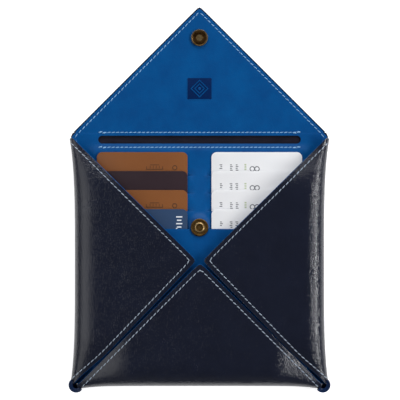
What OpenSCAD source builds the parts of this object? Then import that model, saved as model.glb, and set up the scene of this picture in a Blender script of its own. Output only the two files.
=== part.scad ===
// Envelope wallet: one leather sheet folded along four lines into four pointed
// flaps, round a panel with four card slots in each of two columns.
// The wallet lies on its back, with its top flap open. Millimetres, +Z up,
// the origin at the middle of the back panel's outer face.

/* [Sheet] */
// Thickness of the outer leather
outer_t = 1.1; // [0.8:0.1:1.4]
// Thickness of the stiffening board
board_t = 0.4; // [0.3:0.1:0.6]
// Thickness of the lining leather where no board is under it
lining_t = 1.3; // [1.0:0.1:1.6]
// Distance of the back's board from the leather's edges
board_inset = 4; // [3:0.5:8]

/* [Folds] */
// Distance of each side fold from the middle
side_fold_x = 72; // [71.8:0.1:72.4]
// Distance of the bottom fold from the middle
bottom_fold_y = 70.5; // [70.3:0.1:71]
// Distance of the top fold from the middle
top_fold_y = 72.2; // [72:0.1:72.6]
// Height of each spine, between its two folds
spine_w = 12; // [11.9:0.1:12.4]
// Half length of the side spines
side_spine_half = 67.5; // [60:0.5:67.5]
// Half length of the top and bottom spines
end_spine_half = 77.5; // [74:0.5:79]

/* [Flaps] */
// Tip of a side flap when folded, from the middle, across
side_tip_x = 2.5; // [1.5:0.1:4]
// Tip of a side flap when folded, from the middle, upwards
side_tip_y = 2.2; // [2:0.1:2.6]
// Tip of the top flap when open, from the middle
top_tip_y = 153.1; // [150:0.1:153.4]
// Roundness of the flap tips
tip_r = 1.5; // [0.8:0.1:2.5]

/* [Card panel] */
// Half width of the panel
panel_half = 68.6; // [66:0.1:68.6]
// Thickness of the panel's leather
panel_t = 0.7; // [0.6:0.05:0.7]
// Distance from one slot to the next
slot_pitch = 10.5; // [9:0.5:11]
// Place of the slot nearest the top
first_slot_y = 52.4; // [50:0.1:54]
// Distance of each card column from the middle
column_x = 34.1; // [33.5:0.1:35]
// Thickness of the pocket cloth behind each card
tongue_t = 0.2; // [0.15:0.05:0.25]
// Length of the note slit
slit_l = 120.8; // [100:0.1:125]
// Lower and upper edge of the note slit
slit_y0 = 71.6; // [71:0.1:71.6]
slit_y1 = 76.4; // [76:0.1:77]

/* [Cards] */
// Short side of a bank card
card_w = 53.98; // [53.9:0.01:54]
// Long side of a bank card
card_l = 85.6; // [85.5:0.01:85.7]
// Thickness of a bank card
card_t = 0.76; // [0.7:0.01:0.8]
// Roundness of its corners
card_r = 3.18; // [3:0.01:3.5]
// Top edge of the card in the slot nearest the top
first_card_y = 66.5; // [60:0.1:67]
// Distance from one card's top edge to the next
card_pitch = 11.3; // [10:0.1:12]

/* [Snap] */
// Radius of the half on the flap
flap_snap_r = 5; // [4.5:0.1:5.5]
// Radius of the half on the panel
panel_snap_r = 5.3; // [4.8:0.1:5.8]
// Place of the half on the open flap
flap_snap_y = 134.7; // [134:0.1:135.4]

/* [Stitching] */
// Distance of the stitching from the edge
stitch_inset = 2.6; // [2:0.1:3.5]
// Width of the thread
thread_w = 0.6; // [0.4:0.1:0.8]
// Depth of the thread in the leather
thread_d = 0.25; // [0.2:0.05:0.3]

/* [Hidden] */
$fn = 64;

navy = "#232a3a";
blue = "#1a5a9c";
satin = "#14162a";
sheet_t = outer_t + lining_t;
board_z1 = outer_t + board_t;
hinge_z = 2.2;                       // height of every fold's axis in the flat sheet
fold_gap = 0.4;                      // the leather stops this far short of a fold's axis
clear = 0.15;                        // room between a card and what it slides on
over = 0.14;                         // room between a card and the leather above it
level_h = card_t + over + panel_t + clear;
first_card_z = 4.3;                  // underside of the lowest cards
last_level = 4;
top_board = 0.84;                    // the open flap's board, as a share of the flap
side_board = 0.66;                   // the others', clear of the soft rolled edges
flap_tip_u = side_fold_x + spine_w - side_tip_x;   // side flap's tip, from its spine's fold
bottom_tip_u = bottom_fold_y + spine_w;
top_tip_u = top_tip_y - top_fold_y;
flap_u0 = spine_w + fold_gap;
seam_gap = 0.7;                      // room between neighbouring flaps at the corners
corner_room = 3.2;                   // room for the bunched leather at the bottom corners
side_base_hi = side_fold_x - seam_gap;
side_base_lo = side_fold_x - corner_room;
bottom_base = bottom_fold_y + 0.4;
snap_y = 2 * top_fold_y + spine_w - flap_snap_y;   // where the flap's half lands when shut
snap_gap = 0.3;
panel_z1 = sheet_top(last_level);
shut_z = 2 * hinge_z + spine_w - sheet_t;          // underside of a folded flap
panel_snap_h = 1.2;
flap_snap_h = shut_z - panel_z1 - panel_snap_h - snap_gap;
stud_r = 2;                          // bore of the panel's half
rim_w = 0.7;
pole_rise = 0.4;                     // the pole stands this far above the panel
washer_t = 0.3;
washer_r = flap_snap_r - 0.5;

function card_z(k) = first_card_z + (k - 1) * level_h;
function card_y1(k) = first_card_y - (k - 1) * card_pitch;
function slot_y(k) = first_slot_y - (k - 1) * slot_pitch;
function sheet_top(k) = card_z(k) + card_t + over + panel_t;
function unit(v) = v / norm(v);

// Points of an arc of radius r that rounds the corner p between a and b.
function corner(a, p, b, r, n = 8) =
    let (ua = unit(a - p), ub = unit(b - p), half = acos(ua * ub) / 2,
         c = p + unit(ua + ub) * r / sin(half),
         p0 = p + ua * r / tan(half), p1 = p + ub * r / tan(half),
         a0 = atan2(p0[1] - c[1], p0[0] - c[0]),
         turn = atan2(p1[1] - c[1], p1[0] - c[0]) - a0,
         sweep = turn > 180 ? turn - 360 : turn < -180 ? turn + 360 : turn)
    [for (i = [0:n]) c + r * [cos(a0 + sweep * i / n), sin(a0 + sweep * i / n)]];

// A closed outline with each corner rounded by its own radius.
module rounded(points, radii) {
    n = len(points);
    polygon([for (i = [0:n - 1])
        each corner(points[(i + n - 1) % n], points[i], points[(i + 1) % n], radii[i])]);
}

// ---- One side of the sheet, drawn flat: y outwards from the spine's fold ----

// Corners of a flap: fold edge, fold edge, tip.
function flap_corners(side) =
    side == "left" ? [[-side_base_lo, flap_u0], [side_base_hi, flap_u0], [side_tip_y, flap_tip_u]]
    : side == "right" ? [[-side_base_hi, flap_u0], [side_base_lo, flap_u0],
                         [-side_tip_y, flap_tip_u]]
    : side == "bottom" ? [[-bottom_base, flap_u0], [bottom_base, flap_u0],
                          [0, bottom_tip_u]]
    : [[flap_u0 - top_tip_u, flap_u0], [top_tip_u - flap_u0, flap_u0], [0, top_tip_u]];

module flap_outline(side) {
    rounded(flap_corners(side), [1, 1, tip_r]);
}

module board_outline(side) {
    points = flap_corners(side);
    middle = (points[0] + points[1] + points[2]) / 3;
    share = side == "top" ? top_board : side_board;
    rounded([for (p = points) middle + (p - middle) * share], [2, 2, 2]);
}

module spine_outline(side) {
    half = side == "left" || side == "right" ? side_spine_half : end_spine_half;
    u1 = spine_w - fold_gap;
    if (side == "top") {
        slope_u = top_tip_u - half;
        rounded([[-half, fold_gap], [half, fold_gap], [half, slope_u],
                 [top_tip_u - u1, u1], [u1 - top_tip_u, u1], [-half, slope_u]],
                [0.5, 0.5, 1.5, 0.3, 0.3, 1.5]);
    } else {
        rounded([[-half, fold_gap], [half, fold_gap], [half, u1], [-half, u1]],
                [0.5, 0.5, 0.5, 0.5]);
    }
}

// A straight run of thread, from a to b.
module thread_run(a, b) {
    run = b - a;
    translate(a) rotate(atan2(run[1], run[0])) translate([0, -thread_w / 2])
        square([norm(run), thread_w]);
}

// The stitching along a flap's two free edges, which meet near its tip.
module flap_stitches(side) {
    points = flap_corners(side);
    tip = points[2];
    reach = stitch_inset * 1.414;
    for (i = [0, 1]) {
        inward = [i == 0 ? reach : -reach, 0];
        thread_run(points[i] + inward + 2 * unit(tip - points[i]), tip - [0, reach]);
    }
}

// Moves a side, drawn flat, to its edge of the back panel.
module place(side) {
    turn = side == "left" ? 90 : side == "right" ? -90 : side == "bottom" ? 180 : 0;
    out = side == "bottom" ? bottom_fold_y : side == "top" ? top_fold_y : side_fold_x;
    rotate(turn) translate([0, out, 0]) children();
}

// Folds by 90 degrees about the axis at distance u, except the open top side.
module fold(side, u) {
    if (side == "top") children();
    else translate([0, u, hinge_z]) rotate([90, 0, 0]) translate([0, -u, -hinge_z]) children();
}

module at_spine(side) { place(side) fold(side, 0) children(); }

module at_flap(side) { place(side) fold(side, 0) fold(side, spine_w) children(); }

module slab(z0, z1) { translate([0, 0, z0]) linear_extrude(z1 - z0) children(); }

module spine_outer(side) {
    color(navy) at_spine(side) slab(0, outer_t) spine_outline(side);
}

module spine_lining(side) {
    color(blue) at_spine(side) slab(outer_t, sheet_t) spine_outline(side);
}

module flap_outer(side) {
    color(navy) at_flap(side) difference() {
        slab(0, outer_t) flap_outline(side);
        slab(-1, thread_d) flap_stitches(side);
    }
}

module flap_board(side) {
    color("tan") at_flap(side) slab(outer_t, board_z1) board_outline(side);
}

module flap_lining(side) {
    color(blue) at_flap(side) difference() {
        slab(outer_t, sheet_t) flap_outline(side);
        slab(0, board_z1) board_outline(side);
        slab(sheet_t - thread_d, sheet_t + 1) flap_stitches(side);
        if (side == "top") translate([0, flap_snap_y - top_fold_y, 0]) washer_seat();
    }
}

module flap_thread(side) {
    color("lightsteelblue") at_flap(side) {
        slab(0, thread_d) flap_stitches(side);
        slab(sheet_t - thread_d, sheet_t) flap_stitches(side);
    }
}

// ---- Top spine, which holds the upper lip of the note slit ----

module slit_outline() {
    r = (slit_y1 - slit_y0) / 2;
    half = slit_l / 2 - r;
    for (x = [-half, half]) translate([x, slit_y0 + r - top_fold_y]) circle(r);
    translate([-half, slit_y0 - top_fold_y]) square([2 * half, 2 * r]);
}

module satin_outline() {
    translate([-slit_l / 2 - 3, fold_gap]) square([slit_l + 6, spine_w - 3]);
}

module slit_row_outline(y) {
    translate([-slit_l / 2, y - thread_w / 2]) square([slit_l, thread_w]);
}

upper_row_y = slit_y1 + 1.9;         // stitching above the note slit
lower_row_y = slit_y0 - 2.2;         // and below it

module top_spine_satin() {
    color(satin) place("top") slab(outer_t, board_z1) satin_outline();
}

module top_spine_lining() {
    color(blue) place("top") difference() {
        slab(outer_t, sheet_t) spine_outline("top");
        slab(0, board_z1) satin_outline();
        slab(0, sheet_t + 1) slit_outline();
        slab(sheet_t - thread_d, sheet_t + 1) slit_row_outline(upper_row_y - top_fold_y);
    }
}

module slit_upper_thread() {
    color("lightskyblue") slab(sheet_t - thread_d, sheet_t) slit_row_outline(upper_row_y);
}

// ---- Back panel ----

module back_outline(inset = 0) {
    x = side_fold_x - fold_gap - inset;
    y0 = -bottom_fold_y + fold_gap + inset;
    y1 = top_fold_y - fold_gap - inset;
    rounded([[-x, y0], [x, y0], [x, y1], [-x, y1]], [1, 1, 1, 1]);
}

module back_outer() {
    color(navy) slab(0, outer_t) back_outline();
}

module back_board() {
    color("tan") slab(outer_t, board_z1) back_outline(board_inset);
}

module back_lining() {
    color(blue) difference() {
        slab(outer_t, sheet_t) back_outline();
        slab(0, board_z1) back_outline(board_inset);
    }
}

satin_t = 0.25;
satin_z1 = sheet_t + satin_t;

module note_pocket_satin() {
    color(satin) slab(sheet_t, satin_z1) translate([-panel_half, -bottom_fold_y + 1])
        square([2 * panel_half, bottom_fold_y - 1 + slit_y0]);
}

// ---- Card panel: one sheet that steps up at each row of slots ----

panel_y0 = -bottom_fold_y + 1;
riser_t = 0.8;                       // thickness of the step at a slot
wall_t = 0.8;                        // and of the panel's turned-down edges

// The panel's upper surface from the bottom edge to the slit.
function top_line() = [
    [panel_y0, panel_z1],
    for (k = [last_level:-1:1]) each [[slot_y(k), sheet_top(k)], [slot_y(k), sheet_top(k - 1)]],
    [slit_y0, sheet_top(0)]
];

// The lower surface, from the slit back to the bottom edge.
function under_line() = [
    [slit_y0, sheet_top(0) - panel_t],
    for (k = [1:last_level]) each [[slot_y(k) - riser_t, sheet_top(k - 1) - panel_t],
                                   [slot_y(k) - riser_t, sheet_top(k) - panel_t]],
    [panel_y0 + wall_t, panel_z1 - panel_t],
    [panel_y0 + wall_t, satin_z1],
    [panel_y0, satin_z1]
];

// Extrudes an outline drawn in (y, z) along x.
module along_x(x0, x1) {
    translate([x0, 0, 0]) rotate([90, 0, 90]) linear_extrude(x1 - x0) children();
}

module card_panel() {
    seat_z = panel_z1 - panel_t;
    color(blue) difference() {
        union() {
            along_x(-panel_half, panel_half) polygon(concat(top_line(), under_line()));
            for (x = [-panel_half, panel_half - wall_t])
                along_x(x, x + wall_t)
                    polygon(concat(top_line(), [[slit_y0, satin_z1], [panel_y0, satin_z1]]));
            // Padding that carries the snap level across the last step
            translate([0, snap_y, sheet_top(last_level - 1) - 0.1])
                cylinder(h = level_h + 0.1, r = panel_snap_r + 1);
        }
        for (side = [-1, 1], k = [1:last_level])
            translate([side * column_x - card_w / 2 - 0.4, slot_y(k) - riser_t - 0.01,
                       card_z(k) - clear])
                cube([card_w + 0.8, riser_t + 0.02, card_t + over + clear]);
        translate([0, snap_y, seat_z]) cylinder(h = 2 * panel_t, r = stud_r);
        translate([0, snap_y, seat_z - washer_t]) cylinder(h = washer_t, r = washer_r);
        translate([0, 0, sheet_top(0) - thread_d]) linear_extrude(1)
            slit_row_outline(lower_row_y);
    }
}

module slit_lower_thread() {
    color("lightskyblue") slab(sheet_top(0) - thread_d, sheet_top(0))
        slit_row_outline(lower_row_y);
}

// A tongue of pocket cloth lies behind each card, from its slot to its foot.
module tongue(side, k) {
    y0 = max(card_y1(k) - card_l - 2, panel_y0 + 3);
    color(satin) translate([side * column_x - card_w / 2 - 0.3, y0, card_z(k) - clear - tongue_t])
        cube([card_w + 0.6, slot_y(k) - riser_t - y0, tongue_t]);
}

module card(side, k) {
    tint = side > 0 ? "white" : ["#845830", "#32242a", "#845830", "#2d4164"][k - 1];
    x0 = side * column_x - card_w / 2;
    y0 = card_y1(k) - card_l;
    color(tint) slab(card_z(k), card_z(k) + card_t)
        rounded([[x0, y0], [x0 + card_w, y0], [x0 + card_w, y0 + card_l], [x0, y0 + card_l]],
                [card_r, card_r, card_r, card_r]);
}

// ---- Magnetic snap ----

prong_r = 1.2;

// The hole and recess under the flap's half, in the flap's lining.
module washer_seat() {
    translate([0, 0, board_z1 - 0.01]) cylinder(h = washer_t + 0.01, r = washer_r);
    translate([0, 0, board_z1]) cylinder(h = 2, r = prong_r);
}

module flap_snap_cap() {
    well_r = flap_snap_r - rim_w;
    color("#6b5234") translate([0, flap_snap_y, sheet_t]) {
        difference() {
            cylinder(h = flap_snap_h, r = flap_snap_r);
            translate([0, 0, 0.3]) cylinder(h = 5, r = well_r);
        }
        translate([0, 0, board_z1 + washer_t - sheet_t])
            cylinder(h = sheet_t - board_z1 - washer_t, r = prong_r);
    }
}

module flap_snap_magnet() {
    well_r = flap_snap_r - rim_w;
    color("#4a3a28") translate([0, flap_snap_y, sheet_t + 0.3]) difference() {
        cylinder(h = flap_snap_h - 0.5, r = well_r);
        translate([0, 0, 0.3]) cylinder(h = 5, r = stud_r - 0.5);
    }
}

module flap_snap_washer() {
    color("silver") translate([0, flap_snap_y, board_z1]) cylinder(h = washer_t, r = washer_r);
}

module panel_snap_cap() {
    color("#a8884c") translate([0, snap_y, panel_z1]) difference() {
        cylinder(h = panel_snap_h, r = panel_snap_r);
        translate([0, 0, panel_snap_h - 0.35]) difference() {
            cylinder(h = 1, r = panel_snap_r - rim_w);
            translate([0, 0, -1]) cylinder(h = 3, r = stud_r + rim_w);
        }
        translate([0, 0, -1]) cylinder(h = 5, r = stud_r);
    }
}

module panel_snap_pole() {
    color("gray") translate([0, snap_y, panel_z1 - panel_t])
        cylinder(h = panel_t + pole_rise, r = stud_r);
}

module panel_snap_washer() {
    color("silver") translate([0, snap_y, panel_z1 - panel_t - washer_t])
        cylinder(h = washer_t, r = washer_r);
}

back_outer();
back_board();
back_lining();
note_pocket_satin();
card_panel();
tongue(-1, 1);  // left_tongue_1
tongue(-1, 2);  // left_tongue_2
tongue(-1, 3);  // left_tongue_3
tongue(-1, 4);  // left_tongue_4
tongue(1, 1);  // right_tongue_1
tongue(1, 2);  // right_tongue_2
tongue(1, 3);  // right_tongue_3
tongue(1, 4);  // right_tongue_4
card(-1, 1);  // left_card_1
card(-1, 2);  // left_card_2
card(-1, 3);  // left_card_3
card(-1, 4);  // left_card_4
card(1, 1);  // right_card_1
card(1, 2);  // right_card_2
card(1, 3);  // right_card_3
card(1, 4);  // right_card_4
spine_outer("left");  // left_spine_outer
spine_lining("left");  // left_spine_lining
flap_outer("left");  // left_flap_outer
flap_board("left");  // left_flap_board
flap_lining("left");  // left_flap_lining
flap_thread("left");  // left_flap_thread
spine_outer("right");  // right_spine_outer
spine_lining("right");  // right_spine_lining
flap_outer("right");  // right_flap_outer
flap_board("right");  // right_flap_board
flap_lining("right");  // right_flap_lining
flap_thread("right");  // right_flap_thread
spine_outer("bottom");  // bottom_spine_outer
spine_lining("bottom");  // bottom_spine_lining
flap_outer("bottom");  // bottom_flap_outer
flap_board("bottom");  // bottom_flap_board
flap_lining("bottom");  // bottom_flap_lining
flap_thread("bottom");  // bottom_flap_thread
spine_outer("top");  // top_spine_outer
top_spine_satin();
top_spine_lining();
flap_outer("top");  // top_flap_outer
flap_board("top");  // top_flap_board
flap_lining("top");  // top_flap_lining
flap_thread("top");  // top_flap_thread
slit_upper_thread();
slit_lower_thread();
flap_snap_cap();
flap_snap_magnet();
flap_snap_washer();
panel_snap_cap();
panel_snap_pole();
panel_snap_washer();
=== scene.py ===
"""Four-flap envelope wallet: glossy navy leather folded over a blue card panel, its top flap open."""

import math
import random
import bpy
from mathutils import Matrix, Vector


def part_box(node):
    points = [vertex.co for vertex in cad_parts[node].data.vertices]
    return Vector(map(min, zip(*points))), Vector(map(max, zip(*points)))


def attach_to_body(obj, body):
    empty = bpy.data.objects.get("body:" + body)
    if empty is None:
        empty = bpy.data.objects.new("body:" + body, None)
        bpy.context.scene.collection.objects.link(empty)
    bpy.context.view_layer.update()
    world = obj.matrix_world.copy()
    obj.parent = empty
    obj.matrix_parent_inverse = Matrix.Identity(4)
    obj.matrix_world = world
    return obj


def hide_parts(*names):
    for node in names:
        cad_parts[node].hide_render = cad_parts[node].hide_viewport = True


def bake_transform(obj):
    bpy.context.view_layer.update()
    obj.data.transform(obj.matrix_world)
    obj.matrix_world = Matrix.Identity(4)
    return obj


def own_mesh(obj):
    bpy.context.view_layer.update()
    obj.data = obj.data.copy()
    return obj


bl_info = {
    "name": "Envelope Wallet",
    "version": (1, 0, 0),
    "blender": (4, 5, 0),
    "location": "View3D > Sidebar > Wallet",
    "description": "Folded leather, card panel, cards, stitching and snap of an envelope wallet",
    "category": "Add Mesh",
}

import bpy
from mathutils import Matrix, Vector

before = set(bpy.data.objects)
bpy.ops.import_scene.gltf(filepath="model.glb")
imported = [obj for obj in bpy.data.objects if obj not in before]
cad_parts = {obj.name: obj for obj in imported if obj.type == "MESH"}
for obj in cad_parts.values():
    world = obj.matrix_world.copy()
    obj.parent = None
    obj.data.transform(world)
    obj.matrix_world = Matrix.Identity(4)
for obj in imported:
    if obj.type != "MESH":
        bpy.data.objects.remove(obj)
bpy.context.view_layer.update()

MM = 0.001
SIDES = ("left", "right", "bottom")
COLUMNS = {"left": -1, "right": 1}


def linear(hex_colour):
    """The linear RGBA of an sRGB hex colour."""
    parts = [int(hex_colour[i:i + 2], 16) / 255 for i in (1, 3, 5)]
    return tuple(p / 12.92 if p <= 0.04045 else ((p + 0.055) / 1.055) ** 2.4 for p in parts) + (1.0,)


def box_mm(node):
    """A CAD node's lowest and highest corners, in millimetres."""
    low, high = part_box(node)
    return Vector(low) / MM, Vector(high) / MM


SPINE = box_mm("left_spine_outer")
BOTTOM_SPINE = box_mm("bottom_spine_outer")
SNAP = box_mm("panel_snap_cap")
FLAP_SNAP = box_mm("flap_snap_cap")
THICK = box_mm("left_flap_outer")[1].z


class WalletSizes(bpy.types.PropertyGroup):
    """Sizes of the soft leather, in metres."""

    side_x: bpy.props.FloatProperty(
        name="Half width", description="Middle of a side edge, from the wallet's middle",
        default=-SPINE[0].x * MM, unit="LENGTH")
    bottom_y: bpy.props.FloatProperty(
        name="Bottom edge", description="Middle of the bottom edge, from the wallet's middle",
        default=-BOTTOM_SPINE[0].y * MM, unit="LENGTH")
    thick: bpy.props.FloatProperty(
        name="Thickness", description="Thickness of the folded wallet in its middle",
        default=THICK * MM, unit="LENGTH")
    corner_thick: bpy.props.FloatProperty(
        name="Corner thickness", description="Thickness of the fold at a corner",
        default=0.0088, unit="LENGTH")
    flare: bpy.props.FloatProperty(
        name="Side flare", description="How far the side edges run out at the corners",
        default=0.0037, unit="LENGTH")
    leather: bpy.props.FloatProperty(
        name="Leather", description="Thickness of the outer leather", default=0.00115, unit="LENGTH")
    lining: bpy.props.FloatProperty(
        name="Lining", description="Thickness of the lining leather", default=0.00115, unit="LENGTH")
    stitch_pitch: bpy.props.FloatProperty(
        name="Stitch pitch", description="Distance from one stitch to the next",
        default=0.003, unit="LENGTH")
    stitch_inset: bpy.props.FloatProperty(
        name="Stitch inset", description="Distance of the stitching from the edge",
        default=0.0026, unit="LENGTH")


class WalletColours(bpy.types.PropertyGroup):
    """Colours of the leather, thread and cards."""

    navy: bpy.props.FloatVectorProperty(
        name="Navy leather", description="Outer leather", subtype="COLOR", size=4,
        default=linear("#151a2b"))
    blue: bpy.props.FloatVectorProperty(
        name="Blue leather", description="Lining leather and card panel", subtype="COLOR", size=4,
        default=linear("#00508f"))
    thread: bpy.props.FloatVectorProperty(
        name="Thread", description="Thread on the navy leather", subtype="COLOR", size=4,
        default=linear("#b4c4d6"))
    sky: bpy.props.FloatVectorProperty(
        name="Sky thread", description="Thread on the blue leather", subtype="COLOR", size=4,
        default=linear("#8fc4f2"))


def sizes():
    """The wallet's sizes in millimetres; the lining starts at under, and sheet is both layers."""
    group = bpy.context.scene.wallet_sizes
    found = {key: getattr(group, key) / MM for key in group.__annotations__}
    found["under"] = found["leather"] + LAYER_GAP
    found["sheet"] = found["under"] + found["lining"]
    return found


# ---- Shape of the folded sheet: u is the distance out from the middle, v runs along the fold ----

CORNER = 76.0          # where a side's fold ends, along v
TOP_LINE = 74.6        # the side rolls end here, under the open top flap
BOTTOM_LINE = -71.4    # and here, at the corner cups
SIDE_TIP, BOTTOM_TIP = 2.25, 0.4           # where the flaps' tips lie, along v
ROLL_TOP = 17.0        # width of the soft upper edge of a side
ROLL_FOOT = 8.0        # width of its lower edge
ONSET = 1.5            # above 1 the upper edge starts to curve gradually
BACK_LOW, BACK_HIGH = -67, 68              # the flat back, up to the rolls and the top spine
LAYER_GAP = 0.05       # between the outer leather and its lining
FOLD_STRIP = 12.0      # from a spine's middle to where its flap is flat
TOP_START = 68.0       # the open top flap's spine starts to bend here
TOP_MID = 78.2         # its middle
TOP_EDGE = 153.1       # the top flap's free edges run at 45 degrees: |x| + y is this
EAR_X, EAR_Y, EAR_R = 74.9, 75.6, 1.84     # the top spine's round ends: centre and radius
EAR_FROM, EAR_END = 76.2, 76.7             # and their part along x
DIAGONAL = 1.414       # a distance square to a 45-degree edge, measured along x or y
LINING_INSET = 0.75    # the top flap's lining stops this far short of its edge


def clamp(x, low=0.0, high=1.0):
    return max(low, min(high, x))


def ease(a, b, x):
    t = clamp((x - a) / (b - a))
    return t * t * (3 - 2 * t)


def radius(v, s):
    """Half the thickness of the fold at v."""
    return (s["thick"] + (s["corner_thick"] - s["thick"]) * ease(40, CORNER + 2, abs(v))) / 2


def outermost(side, v, s):
    """Where the side's outermost line runs at v."""
    if side == "bottom":
        return s["bottom_y"] - 0.3 + 2.6 * min(1.0, abs(v) / 74) ** 7
    return s["side_x"] - 0.2 + s["flare"] * min(1.0, abs(v) / CORNER) ** 4


def soft(width, v, s):
    """Width of a roll's curve at v: it tightens towards the corners."""
    return width + (s["corner_thick"] / 2 + 0.3 - width) * ease(45, CORNER, abs(v))


def flap_edge(side, v):
    """Distance of the flap's free edge from the middle, at v, with a softly rounded tip."""
    if side == "bottom":
        bend = 1.2
        return math.hypot(1.005 * (v - BOTTOM_TIP), bend) - bend
    tip_u, bend = 2.75, 1.0
    slope = 1.0165 if v > SIDE_TIP else 0.965
    run_out = 2.5 * ease(50, 70, -v)
    return tip_u - bend + math.hypot(slope * (v - SIDE_TIP), bend) + run_out


def to_row(side, u, v, z):
    """A point of one side, in millimetres of the row frame."""
    if side == "left":
        return Vector((-u, v, z))
    if side == "right":
        return Vector((u, v, z))
    return Vector((v, -u, z))


def roll_point(side, v, depth, angle, s):
    """A point of the roll at an angle from -90 (foot) over 0 (outermost) to 90 (top)."""
    r = radius(v, s)
    width = soft(ROLL_TOP if angle > 0 else ROLL_FOOT, v, s)
    reach = max(0.0, math.cos(math.radians(angle)))
    if angle > 0:
        reach **= 1 / ONSET
    u = outermost(side, v, s) - width + (width - depth) * reach
    return u, r + (r - depth) * math.sin(math.radians(angle))


def upper_path(side, v, depth, s, trim=0.0):
    """Points (u, z) from the outermost line over the roll to the flap's free edge."""
    edge = flap_edge(side, v) + trim
    path = []
    for i in range(25):
        u, z = roll_point(side, v, depth, 90 * i / 24, s)
        if path and u < edge:
            last = path[-1]
            t = (last[0] - edge) / (last[0] - u)
            path.append((edge, last[1] + (z - last[1]) * t))
            return path
        path.append((u, z))
    path.append((edge, path[-1][1]))
    return path


def lower_path(side, v, depth, s):
    """Points (u, z) from the flat back round the foot to the outermost line."""
    start = 68.0
    if side == "bottom":
        start = 67.0 + 4.6 * ease(66.5, 68, abs(v))
    path = [roll_point(side, v, depth, -90 + 90 * i / 16, s) for i in range(17)]
    if path[0][0] > start:
        path.insert(0, (start, path[0][1]))
    return path


def along(path, t):
    """The point at the share t of a path's length."""
    steps = [math.dist(a, b) for a, b in zip(path, path[1:])]
    left = t * sum(steps)
    for (a, b), step in zip(zip(path, path[1:]), steps):
        if left <= step and step > 0:
            k = left / step
            return (a[0] + (b[0] - a[0]) * k, a[1] + (b[1] - a[1]) * k)
        left -= step
    return path[-1]


# ---- Mesh helpers ----


def deselect():
    if bpy.context.object and bpy.context.object.mode != "OBJECT":
        bpy.ops.object.mode_set(mode="OBJECT")
    bpy.ops.object.select_all(action="DESELECT")


def select_only(obj):
    deselect()
    obj.select_set(True)
    bpy.context.view_layer.objects.active = obj


def settle(obj, name=None):
    """Applies the object's place, so that it sits at the origin."""
    select_only(obj)
    bpy.ops.object.transform_apply(location=True, rotation=True, scale=True)
    if name:
        obj.name = obj.data.name = name
    return obj


def apply_modifiers(obj):
    select_only(obj)
    for modifier in list(obj.modifiers):
        bpy.ops.object.modifier_apply(modifier=modifier.name)


def smooth(obj, angle=40):
    select_only(obj)
    bpy.ops.object.shade_smooth_by_angle(angle=math.radians(angle))


def flip(obj):
    select_only(obj)
    bpy.ops.object.mode_set(mode="EDIT")
    bpy.ops.mesh.select_all(action="SELECT")
    bpy.ops.mesh.flip_normals()
    bpy.ops.object.mode_set(mode="OBJECT")


def grid(name, rows, columns, place):
    """A grid whose vertex at (row, column) shares goes to place(row, column), in millimetres."""
    deselect()
    bpy.ops.mesh.primitive_grid_add(x_subdivisions=columns, y_subdivisions=rows, size=2)
    obj = bpy.context.object
    obj.name = obj.data.name = name
    for vertex in obj.data.vertices:
        vertex.co = place((vertex.co.y + 1) / 2, (vertex.co.x + 1) / 2) * MM
    return obj


def round_edges(obj, width, segments, angle):
    """Rounds every edge sharper than the angle, in degrees."""
    bevel = obj.modifiers.new("Edge", "BEVEL")
    bevel.width = width * MM
    bevel.segments = segments
    bevel.limit_method = "ANGLE"
    bevel.angle_limit = math.radians(angle)
    apply_modifiers(obj)


def edit_only(obj, kind, parts, wanted):
    """Selects the edges or faces that are wanted, and stays in edit mode."""
    select_only(obj)
    bpy.ops.object.mode_set(mode="EDIT")
    bpy.ops.mesh.select_mode(type=kind)
    bpy.ops.mesh.select_all(action="DESELECT")
    bpy.ops.object.mode_set(mode="OBJECT")
    for part in parts:
        part.select = wanted(part)
    bpy.ops.object.mode_set(mode="EDIT")


def thicken(obj, thickness, edge=0.25, segments=2):
    """Gives a sheet its thickness inwards and rounds its cut edges."""
    solid = obj.modifiers.new("Thickness", "SOLIDIFY")
    solid.thickness = thickness * MM
    solid.offset = -1
    solid.use_even_offset = True
    apply_modifiers(obj)
    round_edges(obj, edge, segments, 50)
    smooth(obj, 60)


def face_up(obj, upwards=True):
    """Turns the sheet's normals so that most of its surface looks up, or down."""
    total = sum(p.normal.z * p.area for p in obj.data.polygons)
    if (total > 0) != upwards:
        flip(obj)


def paint(obj, material):
    obj.data.materials.clear()
    obj.data.materials.append(material)


def attach(piece, material, slot, where, *stands_for):
    """Paints a piece and ties it to a body; over a joint (two bodies, and where it turns) it only bakes
    the piece's place.
    """
    paint(piece, material)
    if isinstance(where, str):
        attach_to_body(piece, where)
    else:
        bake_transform(piece)
    if stands_for:
        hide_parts(*stands_for)


def join(name, parts):
    deselect()
    for part in parts:
        part.select_set(True)
    bpy.context.view_layer.objects.active = parts[0]
    bpy.ops.object.join()
    joined = bpy.context.object
    joined.name = joined.data.name = name
    return joined


def scatter(name, base, places):
    """Copies of a base piece at each matrix, joined into one object; the base goes."""
    copies = []
    for matrix in places:
        copy = base.copy()
        copy.data = base.data.copy()
        copy.data.transform(matrix)
        bpy.context.collection.objects.link(copy)
        copies.append(copy)
    bpy.data.objects.remove(base)
    return join(name, copies)


# ---- Materials ----


def node(tree, kind, settings=None, **links):
    """Adds a shader node, with its settings, values and links by socket name."""
    made = tree.nodes.new(kind)
    for key, value in (settings or {}).items():
        setattr(made, key, value)
    for key, value in links.items():
        socket = made.inputs[int(key[1:])] if key[1:].isdigit() else made.inputs[key.replace("_", " ")]
        if isinstance(value, bpy.types.NodeSocket):
            tree.links.new(value, socket)
        else:
            socket.default_value = value
    return made


def new_material(name, **values):
    """A Principled material with constants on its own sockets; also its tree and Object coordinates."""
    material = bpy.data.materials.new(name)
    material.use_nodes = True
    shader = material.node_tree.nodes["Principled BSDF"]
    for key, value in values.items():
        shader.inputs[key.replace("_", " ")].default_value = value
    place = node(material.node_tree, "ShaderNodeTexCoord").outputs["Object"]
    return material, material.node_tree, shader, place


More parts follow.
